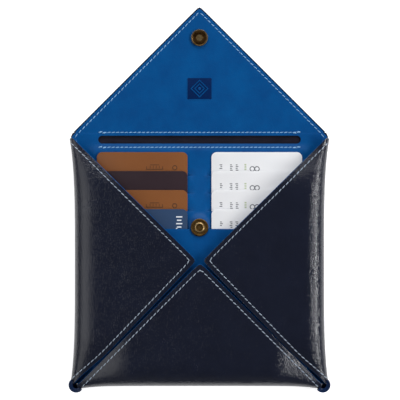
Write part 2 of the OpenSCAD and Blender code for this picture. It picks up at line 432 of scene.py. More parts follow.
def noise(tree, place, size_mm, **more):
    """Fractal noise whose clouds are about this many millimetres across."""
    return node(tree, "ShaderNodeTexNoise", Vector=place, Scale=1 / (size_mm * MM), **more).outputs["Fac"]


def spread(tree, value, **limits):
    """The value mapped from one pair of limits onto another."""
    return node(tree, "ShaderNodeMapRange", Value=value, **limits).outputs["Result"]


def tint(tree, shader, share, colour, shade):
    """The base colour goes from colour to shade with share."""
    base = node(tree, "ShaderNodeMix", {"data_type": "RGBA"}, _0=share, _6=colour, _7=shade)
    tree.links.new(base.outputs[2], shader.inputs["Base Color"])


def roughen(tree, shader, share, low, high):
    tree.links.new(spread(tree, share, To_Min=low, To_Max=high), shader.inputs["Roughness"])


def emboss(tree, shader, height, strength, depth, *sockets):
    """Relief of the given depth, in metres, on the shader's normal and on the sockets named."""
    bump = node(tree, "ShaderNodeBump", Height=height, Strength=strength, Distance=depth)
    for socket in ("Normal", *sockets):
        tree.links.new(bump.outputs["Normal"], shader.inputs[socket])


def leather(name, colour, deep, grain_mm, rough, coat, coat_rough, strength, shine=0.5):
    """Finished calf leather: a dyed, plated hide with pebbled grain and a thin glossy top coat."""
    material, tree, shader, place = new_material(
        name, Coat_Weight=coat, Coat_Roughness=coat_rough, Coat_IOR=1.65, Specular_IOR_Level=shine)
    cloud = noise(tree, place, 14, Detail=4.0, Roughness=0.6)
    pores = node(tree, "ShaderNodeTexVoronoi", {"feature": "DISTANCE_TO_EDGE"}, Vector=place,
                 Scale=1 / (grain_mm * MM), Randomness=1.0)
    pebble = noise(tree, place, grain_mm * 1.1, Detail=2.0, Roughness=0.5)
    crease = spread(tree, pores.outputs["Distance"], From_Max=0.18)
    tint(tree, shader, spread(tree, cloud, From_Min=0.3, From_Max=0.7, To_Max=0.6), colour, deep)
    roughen(tree, shader, pebble, rough - 0.08, rough + 0.12)
    grain = node(tree, "ShaderNodeMath", {"operation": "MULTIPLY_ADD"}, _0=crease, _1=0.55, _2=pebble)
    height = node(tree, "ShaderNodeMath", {"operation": "MULTIPLY_ADD"}, _0=cloud, _1=5.0,
                  _2=grain.outputs[0])
    emboss(tree, shader, height.outputs[0], strength, 0.00012, "Coat Normal")
    return material


def thread_material(name, colour):
    """Waxed polyester thread: two twisted plies, so fine slanting ridges catch the light."""
    material, tree, shader, place = new_material(name, Roughness=0.45, IOR=1.5, Sheen_Weight=0.2)
    ply = node(tree, "ShaderNodeTexWave", {"bands_direction": "DIAGONAL"}, Vector=place,
               Scale=1 / (1.2 * MM), Distortion=1.0).outputs["Fac"]
    tint(tree, shader, ply, colour, tuple(0.72 * c for c in colour[:3]) + (1.0,))
    emboss(tree, shader, ply, 0.5, 0.00008)
    return material


def satin_material():
    """Satin-weave lining cloth: long floats along the slit, and a soft streaky sheen painted into its
    colour as lighter streaks.
    """
    material, tree, shader, place = new_material("satin_cloth_painted_sheen", Roughness=0.4,
                                                 Specular_IOR_Level=0.25)
    stretched = node(tree, "ShaderNodeMapping", Vector=place, Scale=(1.0, 7.0, 1.0))
    floats = noise(tree, stretched.outputs["Vector"], 6, Detail=5.0)
    folds = noise(tree, place, 11, Detail=2.0)
    # Painted sheen: the colour lightens along the streaks of the floats, most where the broad fold patches
    # are high.
    tone = node(tree, "ShaderNodeMath", {"operation": "MULTIPLY"}, _0=floats, _1=folds)
    tint(tree, shader, tone.outputs[0], linear("#0a0b18"), linear("#2e2836"))
    emboss(tree, shader, floats, 0.4, 0.0002)
    return material


def brass_material(name, bright, dark):
    """Antiqued brass plate: lacquered, dark in the hollows, rubbed bright on the high rims."""
    material, tree, shader, place = new_material(name, Metallic=1.0)
    patina = noise(tree, place, 2.2, Detail=5.0, Roughness=0.65)
    tint(tree, shader, spread(tree, patina, From_Min=0.35, From_Max=0.65), linear(bright), linear(dark))
    roughen(tree, shader, patina, 0.22, 0.48)
    emboss(tree, shader, patina, 0.25, 0.0001)
    return material


def card_material(name, colour, shade):
    """Laminated PVC card: printed sheet under a clear film, faintly uneven from the press."""
    material, tree, shader, place = new_material(
        name, Coat_Weight=0.1, Coat_Roughness=0.15, Specular_IOR_Level=0.3)
    tint(tree, shader, noise(tree, place, 22, Detail=2.0), linear(colour), linear(shade))
    roughen(tree, shader, noise(tree, place, 1.5, Detail=2.0), 0.3, 0.42)
    return material


def plain_material(name, colour, shade, grain_mm, rough, metallic=0.0):
    """A worked surface with fine tone and roughness grain: board, steel, print ink."""
    material, tree, shader, place = new_material(name, Metallic=metallic)
    fibre = noise(tree, place, grain_mm, Detail=4.0)
    tint(tree, shader, fibre, linear(colour), linear(shade))
    roughen(tree, shader, fibre, rough - 0.1, rough + 0.1)
    return material


PALETTE_NAMES = {}


def palette():
    """All the wallet's materials by use, made once."""
    if "navy_calf_leather" in bpy.data.materials:
        return {key: bpy.data.materials[name] for key, name in PALETTE_NAMES.items()}
    colours = bpy.context.scene.wallet_colours
    made = {
        "navy": leather("navy_calf_leather", tuple(colours.navy), linear("#0f1322"), 1.1, 0.45,
                        0.8, 0.13, 0.62, 0.04),
        "blue": leather("blue_calf_leather", tuple(colours.blue), linear("#003c78"), 1.3, 0.42,
                        0.03, 0.3, 0.25, 0.12),
        "stamped": leather("stamped_blue_leather", linear("#002355"), linear("#001d4a"), 1.3, 0.45,
                           0.03, 0.3, 0.25, 0.08),
        # Painted shade: the cups' leather, used for their outer layer and lining alike, is a darker blue
        # standing in for the shade inside the corner cups.
        "cup": leather("cup_painted_shade_leather", linear("#12284c"), linear("#0c1c38"), 1.1, 0.45,
                       0.4, 0.2, 0.5, 0.04),
        "thread": thread_material("pale_waxed_thread", tuple(colours.thread)),
        "sky": thread_material("sky_waxed_thread", tuple(colours.sky)),
        "satin": satin_material(),
        "dark_brass": brass_material("dark_antique_brass", "#6f5230", "#2b1b0c"),
        "brass": brass_material("gold_antique_brass", "#a98650", "#5a4020"),
        "rim_brass": brass_material("rubbed_brass_rim", "#c8b084", "#7d6136"),
        "white_card": card_material("white_pvc_card", "#f4f4f6", "#e8eaee"),
        "tan_card": card_material("tan_pvc_card", "#8a552b", "#78492a"),
        "brown_card": card_material("brown_pvc_card", "#33242b", "#2c2026"),
        "slate_card": card_material("slate_pvc_card", "#26436b", "#34465f"),
        "ink": plain_material("grey_print_ink", "#54575d", "#6c7076", 0.5, 0.5),
        "dark_ink": plain_material("brown_print_ink", "#47280f", "#573418", 0.5, 0.5),
        "green_ink": plain_material("green_print_ink", "#a3b583", "#b4c29a", 0.5, 0.5),
        "white_ink": plain_material("white_print_ink", "#eef2f8", "#dfe5ee", 0.5, 0.45),
        "board": plain_material("grey_fibre_board", "#8d8270", "#a89c88", 1.0, 0.85),
        "steel": plain_material("zinc_plated_steel", "#a9abb0", "#8d9096", 1.2, 0.35, 1.0),
    }
    PALETTE_NAMES.update({key: material.name for key, material in made.items()})
    return made


# ---- Leather sheet ----


def weld_ends(side, s):
    """Where the folds' blends start and end, in metres of the row frame."""
    r = s["thick"] / 2
    out = s["bottom_y"] if side == "bottom" else s["side_x"]
    foot = to_row(side, out - ROLL_FOOT, 0, 0) * MM
    middle = to_row(side, out, 0, r) * MM
    top = to_row(side, out - ROLL_TOP, 0, 2 * r) * MM
    return foot, middle, top


def side_grid(name, side, s, depth, upper, v_low, v_high, trim=0.0):
    """One layer of a side's roll, with its flap if upper is true."""
    def place(row, column):
        v = v_low + (v_high - v_low) * row
        if upper:
            u, z = along(upper_path(side, v, depth, s, trim), column ** 1.2)
        else:
            u, z = along(lower_path(side, v, depth, s), column)
        return to_row(side, u, v, z)
    return grid(name, 150 if upper else 110, 64 if upper else 22, place)


def side_range(side):
    return (-72.6, 72.6) if side == "bottom" else (BOTTOM_LINE, TOP_LINE)


def make_side(side, s, mats):
    """The navy leather and blue lining of one folded side."""
    foot, middle, top = weld_ends(side, s)
    v_low, v_high = side_range(side)
    layers = (("leather", 0.0, s["leather"], "navy", "outer", 0.0),
              ("inner_leather", s["under"], s["lining"], "blue", "lining", -0.35))
    for layer, depth, thickness, colour, part, trim in layers:
        for label, turn in (("flap", (f"{side}_spine", f"{side}_flap", middle, top)),
                            ("spine", ("root", f"{side}_spine", foot, middle))):
            upper = label == "flap"
            piece = side_grid(f"{side}_{label}_{layer}", side, s, depth, upper, v_low, v_high, trim)
            face_up(piece, upper)
            thicken(piece, thickness)
            attach(piece, mats[colour], f"{colour}_leather", turn, f"{side}_{label}_{part}")


class WALLET_OT_sides(bpy.types.Operator):
    """The two side flaps and the bottom flap, rolled over from the back"""

    bl_idname = "wallet.sides"
    bl_label = "Side and bottom flaps"

    def execute(self, context):
        s, mats = sizes(), palette()
        for side in SIDES:
            make_side(side, s, mats)
        return {"FINISHED"}


class WALLET_OT_back(bpy.types.Operator):
    """The flat back panel, leather outside and lining inside"""

    bl_idname = "wallet.back"
    bl_label = "Back panel"

    def execute(self, context):
        s, mats = sizes(), palette()
        layers = (("back_leather", 0.0, s["leather"], "navy", "back_outer"),
                  ("back_inner_leather", s["under"], s["lining"], "blue", "back_lining"))
        for name, z, thickness, colour, cad in layers:
            def place(row, column, z=z):
                return Vector((BACK_HIGH * (2 * column - 1), BACK_LOW + (BACK_HIGH - BACK_LOW) * row, z))
            piece = grid(name, 60, 60, place)
            face_up(piece, False)
            thicken(piece, thickness, edge=0.1, segments=1)
            attach(piece, mats[colour], f"{colour}_leather", "root", cad)
        return {"FINISHED"}


# ---- Top flap, lying open ----

TOP_LOWER = ("root", "top_spine", Vector((0, TOP_START, 0)) * MM, Vector((0, TOP_MID, 0)) * MM)
TOP_UPPER = ("top_spine", "top_flap", Vector((0, TOP_MID, 0)) * MM,
             Vector((0, TOP_MID + FOLD_STRIP, 0)) * MM)


def top_outline(x, inset):
    """Where the open top flap's free edge lies at x."""
    return TOP_EDGE - inset * DIAGONAL + 0.7 - math.hypot(x, 0.7)


def top_lower_start(x):
    return TOP_START + (TOP_LINE + 0.3 - TOP_START) * ease(66.8, 68.6, abs(x))


class WALLET_OT_top_flap(bpy.types.Operator):
    """The open top flap and the spine that it hinges on"""

    bl_idname = "wallet.top_flap"
    bl_label = "Top flap"

    def execute(self, context):
        s, mats = sizes(), palette()
        layers = (("navy", 0.0, "outer", "leather", s["leather"], s["leather"]),
                  ("blue", LINING_INSET, "lining", "inner_leather", s["sheet"], s["lining"]))
        for colour, inset, part, layer, z, thickness in layers:
            half = TOP_EDGE - TOP_MID - inset * DIAGONAL

            def upper(row, column):
                x = half * (2 * column - 1)
                y1 = top_outline(x, inset)
                return Vector((x, TOP_MID + (y1 - TOP_MID) * row, z))

            flap = grid(f"top_flap_{layer}", 60, 120, upper)
            face_up(flap, True)
            thicken(flap, thickness)
            attach(flap, mats[colour], f"{colour}_leather", TOP_UPPER, f"top_flap_{part}")
            if colour == "blue":
                continue

            def lower(row, column):
                x = EAR_END * (2 * column - 1)
                y0 = top_lower_start(x)
                y1 = min(TOP_MID, top_outline(x, inset))
                if abs(x) > EAR_FROM:
                    y1 = EAR_Y + math.sqrt(EAR_R ** 2 - (abs(x) - EAR_X) ** 2)
                return Vector((x, y0 + (y1 - y0) * row, z))

            spine = grid(f"top_spine_{layer}", 16, 150, lower)
            face_up(spine, True)
            thicken(spine, thickness)
            attach(spine, mats[colour], f"{colour}_leather", TOP_LOWER, f"top_spine_{part}")
        return {"FINISHED"}


# ---- Card panel ----

LEVELS = 4
CARD = {(name, k): box_mm(f"{name}_card_{k}") for name in COLUMNS for k in range(1, LEVELS + 1)}
CARD_W = CARD[("left", 1)][1].x - CARD[("left", 1)][0].x
COLUMN_X = (CARD[("right", 1)][0].x + CARD[("right", 1)][1].x) / 2
RISER = 0.8
SLOT_Y = [box_mm(f"left_tongue_{k}")[1].y + RISER for k in range(1, LEVELS + 1)]
LEVEL_H = CARD[("left", 2)][0].z - CARD[("left", 1)][0].z
PANEL_TOP = box_mm("card_panel")[1].z
PANEL_T = 0.7
SLIT_Y0, SLIT_Y1, SLIT_HALF = 71.6, 76.4, 60.4
SLOT_HALF_GAP = 0.03
PANEL_ROOM = 3.0       # two sheets of leather and a gap, under the top of a roll
LINING_TOP = 2.4


def level_z(k):
    """Upper surface of the strip below slot k; 0 is the one above the first slot."""
    return PANEL_TOP - (LEVELS - k) * LEVEL_H


def panel_height(x, y, k):
    """Upper surface of the card panel in the strip k, smooth outside the card columns."""
    first, last = SLOT_Y[0] + 5, SLOT_Y[-1] - 5
    slope = level_z(0) + (PANEL_TOP - level_z(0)) * clamp((first - y) / (first - last))
    off = abs(abs(x) - COLUMN_X)
    share = 1 - ease(CARD_W / 2 + 0.6, CARD_W / 2 + 4.5, off)
    z = slope + (level_z(k) - slope) * share
    snap = math.hypot(x, y - (SNAP[0].y + SNAP[1].y) / 2)
    z += (PANEL_TOP - z) * (1 - ease(5.4, 8.5, snap)) * (1 - share)
    rim = 1 - ease(61, 68.4, max(abs(x), -y))
    z = LINING_TOP + (z - LINING_TOP) * rim
    return z


def panel_limit(x, y, s):
    """The flaps above leave this much height towards the corners."""
    return 2 * radius(min(abs(x), abs(y)), s) - PANEL_ROOM


def panel_rows():
    """Pairs (y, strip) from the bottom edge to the top spine; each slot has a row on each side."""
    rows = []
    edges = [-69.0, *reversed(SLOT_Y), TOP_MID]
    for n, (low, high) in enumerate(zip(edges, edges[1:])):
        strip = LEVELS - n
        steps = max(2, round((high - low) / 1.6))
        for i in range(steps + 1):
            y = low + (high - low) * i / steps
            if 0 < n and i == 0:
                y += SLOT_HALF_GAP
            if n < LEVELS and i == steps:
                y -= SLOT_HALF_GAP
            rows.append((y, strip))
    return rows


class WALLET_OT_card_panel(bpy.types.Operator):
    """The blue card panel with four slits in each column and the note slit above"""

    bl_idname = "wallet.card_panel"
    bl_label = "Card panel"

    def execute(self, context):
        s, mats = sizes(), palette()
        rows = panel_rows()
        top_z = s["leather"] + s["lining"] + 0.12    # a hair above the sheet: no two faces coincide

        def half_at(y):
            return min(68.6 + 5.2 * ease(62, 71, y) + 2.6 * ease(70, 74, y),
                       TOP_EDGE - y - LINING_INSET * DIAGONAL)

        def place(row, column):
            y, strip = rows[round(row * (len(rows) - 1))]
            x = half_at(y) * (2 * column - 1)
            z = min(panel_height(x, y, strip), panel_limit(x, y, s))
            lie = ease(66.5, 72.5, y)
            return Vector((x, y, z + (top_z - z) * lie))

        panel = grid("card_panel_leather", len(rows) - 1, 120, place)
        mesh = panel.data
        face_up(panel, True)

        def in_slot(face):
            ys = [mesh.vertices[i].co.y / MM for i in face.vertices]
            xs = [abs(abs(mesh.vertices[i].co.x / MM) - COLUMN_X) for i in face.vertices]
            slot = any(abs(sum(ys) / 4 - y) < 0.02 and max(ys) - min(ys) < 0.2 for y in SLOT_Y)
            return slot and max(xs) < CARD_W / 2 + 1.6

        edit_only(panel, "FACE", mesh.polygons, in_slot)
        bpy.ops.mesh.delete(type="FACE")
        bpy.ops.object.mode_set(mode="OBJECT")
        thicken(panel, PANEL_T, edge=0.18)
        cut_slit(panel)
        smooth(panel, 50)
        attach(panel, mats["blue"], "blue_leather", TOP_LOWER, "card_panel", "top_spine_lining")
        return {"FINISHED"}


def cut_slit(panel):
    """Cuts the long note slit, with round ends, out of the panel."""
    middle, r = (SLIT_Y0 + SLIT_Y1) / 2, (SLIT_Y1 - SLIT_Y0) / 2
    deselect()
    bpy.ops.mesh.primitive_cylinder_add(vertices=32, radius=r * MM, depth=0.02,
                                        location=(0, middle * MM, 0))
    cutter = bpy.context.object
    for vertex in cutter.data.vertices:
        vertex.co.x += math.copysign(SLIT_HALF - r, vertex.co.x if abs(vertex.co.x) > 1e-6 else 1) * MM
    settle(cutter)
    cut = panel.modifiers.new("Slit", "BOOLEAN")
    cut.operation = "DIFFERENCE"
    cut.solver = "EXACT"
    cut.object = cutter
    apply_modifiers(panel)
    bpy.data.objects.remove(cutter)


# ---- Corner cups ----

CUP_X, CUP_Y, CUP_R = 73.2, -71.8, 4.5     # axis and radius
CUP_FROM, CUP_TURN = -137, 184             # it wraps the corner by this much, in degrees
CUP_FOOT = 0.45                            # share of its height that is the rounded foot


class WALLET_OT_corners(bpy.types.Operator):
    """The two round leather cups at the bottom corners, where side and bottom fold meet"""

    bl_idname = "wallet.corners"
    bl_label = "Corner cups"

    def execute(self, context):
        s, mats = sizes(), palette()
        foot = CUP_R - 0.05
        for name, sign in COLUMNS.items():
            for layer, depth, thickness, colour in (
                    ("leather", 0.0, s["leather"], "navy"),
                    ("inner_leather", s["under"], s["lining"], "blue")):
                def place(row, column, depth=depth):
                    turn = math.radians(CUP_FROM + CUP_TURN * (1 - row))
                    angle = turn if sign > 0 else math.pi - turn
                    rim = 8.4 + 0.6 * abs(2 * row - 1) ** 2 - 0.3 * (depth > 0)
                    if column < CUP_FOOT:
                        bend = math.radians(90 * (1 - column / CUP_FOOT))
                        reach = CUP_R - foot + (foot - depth) * math.cos(bend)
                        z = foot - (foot - depth) * math.sin(bend)
                    else:
                        reach = CUP_R - depth
                        z = foot + (rim - foot) * (column - CUP_FOOT) / (1 - CUP_FOOT)
                    return Vector((sign * CUP_X + reach * math.cos(angle),
                                   CUP_Y + reach * math.sin(angle), z))

                cup = grid(f"{name}_corner_{layer}", 24, 20, place)
                outward = sum(p.area * (p.normal.x * sign - p.normal.y) for p in cup.data.polygons)
                if outward < 0:
                    flip(cup)
                thicken(cup, thickness, edge=0.3)
                # Painted shade: both layers take the darker cup leather, for the shade inside the cup.
                attach(cup, mats["cup"], f"{colour}_leather", "root")
                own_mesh(cup)
        return {"FINISHED"}


# ---- Note pocket cloth ----


class WALLET_OT_note_pocket(bpy.types.Operator):
    """The satin of the note pocket, seen through the slit"""

    bl_idname = "wallet.note_pocket"
    bl_label = "Note pocket"

    def execute(self, context):
        mats = palette()
        random.seed(4)
        waves = [(random.uniform(0.05, 0.4), random.uniform(0, 6.3), random.uniform(0.05, 0.12))
                 for _ in range(6)]

        def cloth(row, column, y0, y1, z0):
            x = -64 + 128 * column
            y = y0 + (y1 - y0) * row
            ripple = sum(h * math.sin(k * x + p + 0.2 * y) for k, p, h in waves)
            return Vector((x, y, z0 + 0.15 * ripple))

        upper = grid("note_pocket_hem", 10, 120,
                     lambda row, column: cloth(row, column, 70.4, 80.5, 1.42))
        lower = grid("note_pocket_cloth", 40, 90,
                     lambda row, column: cloth(row, column, -66, 70.2, LINING_TOP + 0.22))
        for piece, where, cad in ((upper, TOP_LOWER, "top_spine_satin"),
                                  (lower, "root", "note_pocket_satin")):
            face_up(piece, True)
            thicken(piece, 0.12, edge=0.03, segments=1)
            attach(piece, mats["satin"], "satin_lining", where, cad)
        return {"FINISHED"}


# ---- Cards ----


def rounded_card(name, low, high, corner):
    """A card from a cube: its four upright edges rounded, then all its rims softened."""
    deselect()
    bpy.ops.mesh.primitive_cube_add(size=1, location=(low + high) / 2 * MM)
    card = bpy.context.object
    card.scale = (high - low) * MM
    settle(card, name)

    def upright(edge):
        a, b = (card.data.vertices[i].co for i in edge.vertices)
        return abs(a.z - b.z) > 0.1 * MM

    edit_only(card, "EDGE", card.data.edges, upright)
    bpy.ops.mesh.bevel(offset=corner * MM, segments=8, affect="EDGES")
    bpy.ops.object.mode_set(mode="OBJECT")
    round_edges(card, 0.12, 2, 60)
    smooth(card, 40)
    return card


def bar(x, y, z, length, width, height=0.02):
    """A printed bar, from a cube."""
    deselect()
    bpy.ops.mesh.primitive_cube_add(size=1, location=(x * MM, y * MM, (z + height / 2) * MM))
    obj = bpy.context.object
    obj.scale = (length * MM, width * MM, height * MM)
    return settle(obj)


def ring(x, y, z, r, width, height=0.02):
    """A printed ring, from a flattened torus."""
    deselect()
    bpy.ops.mesh.primitive_torus_add(major_segments=32, minor_segments=6, major_radius=r * MM,
                                     minor_radius=width / 2 * MM, location=(x * MM, y * MM, z * MM))
    obj = bpy.context.object
    obj.scale.z = 2 * height / width
    return settle(obj)


def white_card_marks(k, low, high):
    """Generic print on a white card: short grey columns, a green one and two touching rings."""
    z, top = high.z, high.y
    grey, green = [], []
    for x, count in ((5.6, 3), (11.6, 4), (15.0, 4)):
        for i in range(count):
            width = 1.1 if (i + count + k) % 2 else 1.6
            grey.append(bar(low.x + x + 0.25 * (i % 2), top - 7.6 - 1.05 * i, z, width, 0.5))
    for i in range(4):
        green.append(bar(low.x + 20.2, top - 7.4 - 1.0 * i, z, 1.2, 0.55))
    rings = [ring(low.x + 24.3 + dx, top - 10.0, z, 1.35, 0.55) for dx in (0, 2.8)]
    return [(join(f"right_card_{k}_print", grey), "ink"),
            (join(f"right_card_{k}_green_print", green), "green_ink"),
            (join(f"right_card_{k}_rings", rings), "ink")]


def left_card_marks(k, high):
    """Generic print on the left cards: an arch with bars, a ring, or a row of white blocks."""
    z, top, right = high.z, high.y, high.x
    if k in (1, 3):
        arch = [bar(right - 19.6, top - 10.2, z, 10.2, 0.5), bar(right - 19.6, top - 7.6, z, 5.4, 0.4),
                bar(right - 24.4, top - 9.2, z, 0.4, 1.6), bar(right - 14.8, top - 9.2, z, 0.4, 1.6)]
        arch += [bar(right - 22.2 + 1.8 * i, top - 8.9, z, 0.35, 1.6) for i in range(4)]
        arch.append(ring(right - 7.6, top - 9.3, z, 1.25, 0.55))
        return [(join(f"left_card_{k}_print", arch), "dark_ink")]
    if k == 4:
        blocks = [bar(right - 4.9, top - 4.6 - 2.0 * i, z, 3.6 if i % 2 == 0 else 2.6, 0.75)
                  for i in range(4)]
        dots = [ring(right - 6.4, top - y, z, 0.28, 0.5) for y in (11.6, 13.4)]
        return [(join(f"left_card_{k}_print", blocks + dots), "white_ink")]
    return []


class WALLET_OT_cards(bpy.types.Operator):
    """The eight cards in their slots, with generic print"""

    bl_idname = "wallet.cards"
    bl_label = "Cards"

    def execute(self, context):
        mats = palette()
        left_finish = ("tan_card", "brown_card", "tan_card", "slate_card")
        for (name, k), (low, high) in CARD.items():
            finish = left_finish[k - 1] if name == "left" else "white_card"
            card = rounded_card(f"{name}_card_{k}_sheet", low, high, 3.18)
            body = f"{name}_card_{k}_body"
            marks = left_card_marks(k, high) if name == "left" else white_card_marks(k, low, high)
            for piece, ink in marks:
                attach(piece, mats[ink], finish, body)
            attach(card, mats[finish], finish, body, f"{name}_card_{k}")
        return {"FINISHED"}


# ---- Snap ----


def turned(name, outline, x, y, segments=48):
    """A turned piece: the outline (radius, height), in millimetres, spun round a circle."""
    deselect()
    bpy.ops.mesh.primitive_circle_add(vertices=segments, radius=outline[0][0] * MM, fill_type="NGON",
                                      location=(x * MM, y * MM, outline[0][1] * MM))
    obj = bpy.context.object
    obj.name = obj.data.name = name
    bpy.ops.object.mode_set(mode="EDIT")
    bpy.ops.mesh.select_mode(type="FACE")
    bpy.ops.mesh.select_all(action="SELECT")
    for (r0, z0), (r1, z1) in zip(outline, outline[1:]):
        bpy.ops.mesh.extrude_region_move(TRANSFORM_OT_translate={"value": (0, 0, (z1 - z0) * MM)})
        bpy.ops.transform.resize(value=(r1 / r0, r1 / r0, 1), center_override=(x * MM, y * MM, z1 * MM))
    bpy.ops.mesh.select_all(action="SELECT")
    bpy.ops.mesh.normals_make_consistent(inside=False)
    bpy.ops.object.mode_set(mode="OBJECT")
    settle(obj)
    smooth(obj, 35)
    return obj


class WALLET_OT_snap(bpy.types.Operator):
    """The two halves of the magnetic snap"""

    bl_idname = "wallet.snap"
    bl_label = "Snap"

    def execute(self, context):
        mats = palette()
        low, high = FLAP_SNAP
        y = (low.y + high.y) / 2
        r, z0, z1 = (high.x - low.x) / 2, LINING_TOP - 0.05, high.z
        rim = turned("flap_snap_rim", [(r - 0.3, z0), (r, z0 + 0.2), (r, z1 - 0.25), (r - 0.2, z1),
                                       (r - 0.4, z1), (r - 0.6, z1 - 0.3), (r - 0.7, z1 - 0.45)], 0, y)
        face = turned("flap_snap_face", [(r - 0.65, z0 + 0.3), (r - 0.65, z1 - 0.5),
                                         (r - 1.1, z1 - 0.38), (2.2, z1 - 0.3), (1.6, z1 - 0.6),
                                         (0.8, z1 - 0.75), (0.3, z1 - 0.8)], 0, y)
        attach(rim, mats["rim_brass"], "dark_antique_brass", "top_flap", "flap_snap_cap")
        attach(face, mats["dark_brass"], "dark_antique_brass", "top_flap", "flap_snap_magnet")
        low, high = SNAP
        y, r, z0, z1 = (low.y + high.y) / 2, (high.x - low.x) / 2, low.z - 0.1, high.z
        cap = turned("panel_snap_rim", [(r - 0.2, z0), (r, z0 + 0.3), (r, z1 - 0.5), (r - 0.35, z1 - 0.15),
                                        (r - 0.8, z1 - 0.1), (r - 1.2, z1 - 0.5), (3.2, z1 - 0.6)],
                     0, y)
        hub = turned("panel_snap_hub", [(3.25, z0), (3.25, z1 - 0.62), (2.9, z1 - 0.2), (2.5, z1),
                                        (2.1, z1 - 0.1), (1.9, z1 - 0.8), (0.3, z1 - 0.85)], 0, y)
        attach(cap, mats["brass"], "light_antique_brass", "root", "panel_snap_cap")
        attach(hub, mats["rim_brass"], "light_antique_brass", "root", "panel_snap_pole")
        return {"FINISHED"}


# ---- Stamped mark ----


class WALLET_OT_mark(bpy.types.Operator):
    """A plain stamped patch of nested diamonds on the open flap"""

    bl_idname = "wallet.mark"
    bl_label = "Stamped mark"

    def execute(self, context):
        mats = palette()
        x0, y0, w, h, z = 0.0, 104.4, 14.8, 13.0, LINING_TOP
        plate = rounded_card("stamped_plate", Vector((x0 - w / 2, y0 - h / 2, z - 0.3)),
                             Vector((x0 + w / 2, y0 + h / 2, z + 0.03)), 1.2)
        lines = []
        for reach in (5.0, 2.8):
            deselect()
            bpy.ops.mesh.primitive_torus_add(major_segments=4, minor_segments=6,
                                             major_radius=reach * MM, minor_radius=0.42 * MM,
                                             location=(x0 * MM, y0 * MM, (z + 0.05) * MM))
            diamond = bpy.context.object
            diamond.scale.z = 0.5
            lines.append(settle(diamond))
        lines.append(ring(x0, y0, z + 0.05, 0.45, 0.7, 0.12))
        mark = join("stamped_diamonds", lines)
        border = [bar(x0 + dx, y0 + dy, z - 0.05, lx, ly, 0.14)
                  for dx, dy, lx, ly in ((0, h / 2, w - 2, 0.45), (0, -h / 2, w - 2, 0.45),
                                         (w / 2, 0, 0.45, h - 2), (-w / 2, 0, 0.45, h - 2))]
        edge = join("stamped_border", border)
        for piece, finish in ((plate, "stamped"), (mark, "blue"), (edge, "blue")):
            attach(piece, mats[finish], "blue_leather", "top_flap")
        return {"FINISHED"}


# ---- Stitching ----

STITCH_SLANT = math.radians(7)


def stitch_base(length, width):
    """One stitch: a short strand that dips into the leather at both ends."""
    deselect()
    bpy.ops.mesh.primitive_uv_sphere_add(segments=8, ring_count=6, radius=0.5 * MM)
    base = bpy.context.object
    base.rotation_euler.y = math.radians(90)
    settle(base, "stitch_base")
    for vertex in base.data.vertices:
        co = vertex.co / MM
        share = clamp(1 - (2 * co.x) ** 4)
        vertex.co = Vector((co.x * length, co.y * width * (0.7 + 0.3 * share),
                            co.z * width * 0.8)) * MM
    smooth(base, 80)
    return base


def stitches(name, spots, s, width=0.54, share=0.9):
    """A row of stitches at spots (point, normal, direction), in millimetres."""
    base = stitch_base(s["stitch_pitch"] * share, width)
    places = []
    for point, normal, direction in spots:
        n = normal.normalized()
        d = (direction - n * direction.dot(n)).normalized()
        d = Matrix.Rotation(STITCH_SLANT, 3, n) @ d
        turn = Matrix((d, n.cross(d), n)).transposed().to_4x4()
        places.append(Matrix.Translation((point + n * 0.05) * MM) @ turn)
    return scatter(name, base, places)


def flap_surface(side, u, v, s, depth=0.0):
    """The point of a folded flap's outer face above (u, v)."""
    r, width = radius(v, s), soft(ROLL_TOP, v, s)
    inner = outermost(side, v, s) - width
    if u <= inner:
        return to_row(side, u, v, 2 * r - depth)
    angle = math.acos(clamp((u - inner) / (width - depth)) ** ONSET)
    return to_row(side, u, v, r + (r - depth) * math.sin(angle))


def flap_spots(side, s, depth):
    """Stitch places along both free edges of a folded flap."""
    inset, pitch = s["stitch_inset"] * DIAGONAL, s["stitch_pitch"]
    v_low, v_high = side_range(side)
    tip_v = BOTTOM_TIP if side == "bottom" else SIDE_TIP
    spots = []
    for sign in (-1, 1):
        v = tip_v + sign * 0.9
        while v_low + 2.0 < v < v_high - 2.0:
            u = flap_edge(side, v) + inset
            step = 0.1
            ahead = flap_edge(side, v + sign * step) + inset
            point = flap_surface(side, u, v, s, depth)
            along_v = flap_surface(side, ahead, v + sign * step, s, depth) - point
            across = flap_surface(side, u + step, v, s, depth) - point
            if u < outermost(side, v, s) - 0.8 and across.length < 8 * step:
                normal = along_v.cross(across).normalized()
                if normal.z < 0:
                    normal.negate()
                spots.append((point, -normal if depth else normal, along_v.copy()))
            v += sign * pitch / math.hypot(1, (ahead - u) / step)
    return spots


def straight_spots(a, b, normal, pitch):
    """Stitch places at an even pitch along a straight run."""
    run = b - a
    count = round(run.length / pitch)
    return [(a + run * ((i + 0.5) / count), normal, run.normalized()) for i in range(count)]


